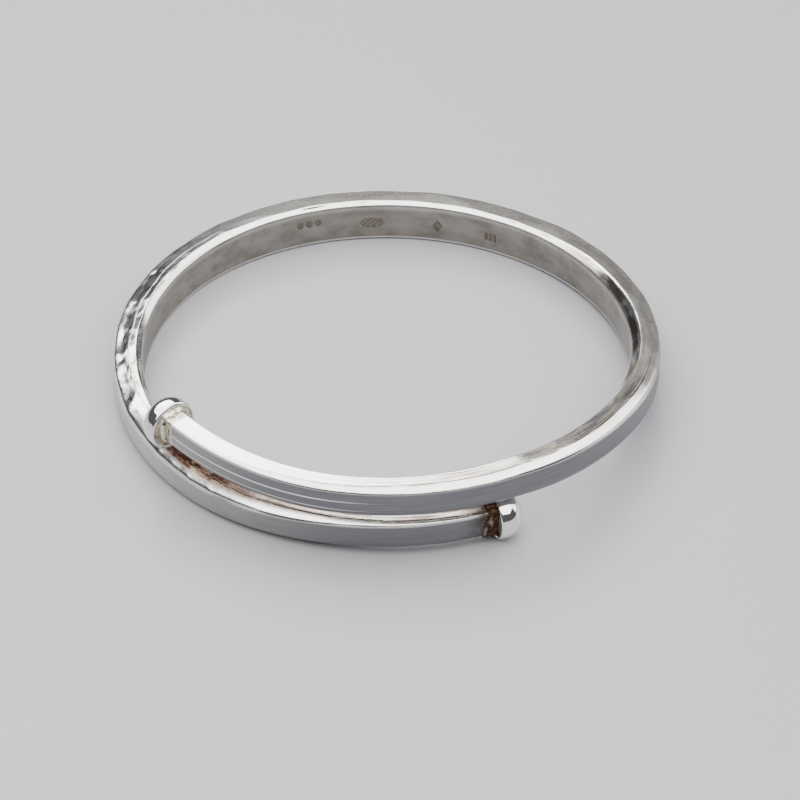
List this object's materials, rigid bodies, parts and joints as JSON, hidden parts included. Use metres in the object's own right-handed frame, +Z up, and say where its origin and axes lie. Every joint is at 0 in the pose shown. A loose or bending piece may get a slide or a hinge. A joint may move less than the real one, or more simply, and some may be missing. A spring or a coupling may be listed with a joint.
{
  "type": "bypass bangle bracelet",
  "caption": "Hand-forged silver bypass bangle: one tapered, hammered bar coiled past a full turn, with a polished domed knob soldered on each end.",
  "frame": {"origin": "on the surface that the bangle lies on, under the middle of its bounding box", "axes": "+Z up, out of the wrist opening; +Y to the back of the ring, where the bar is tallest; the two ends pass each other at -Y"},
  "size_m": [0.0684, 0.0688, 0.0117],
  "materials": {
    "forged_silver": "sterling silver, forged and hammered, polished over the marks, light tarnish in the hollows",
    "polished_silver": "sterling silver, turned and mirror polished, faint wear",
    "cast_solder": "hard silver solder, rough and pitted, pale yellow to brown"
  },
  "bodies": {
    "root": {"band": "forged_silver", "upper_solder_collar": "cast_solder", "upper_end_knob": "polished_silver", "lower_solder_collar": "cast_solder", "lower_end_knob": "polished_silver"}
  },
  "joints": []
}
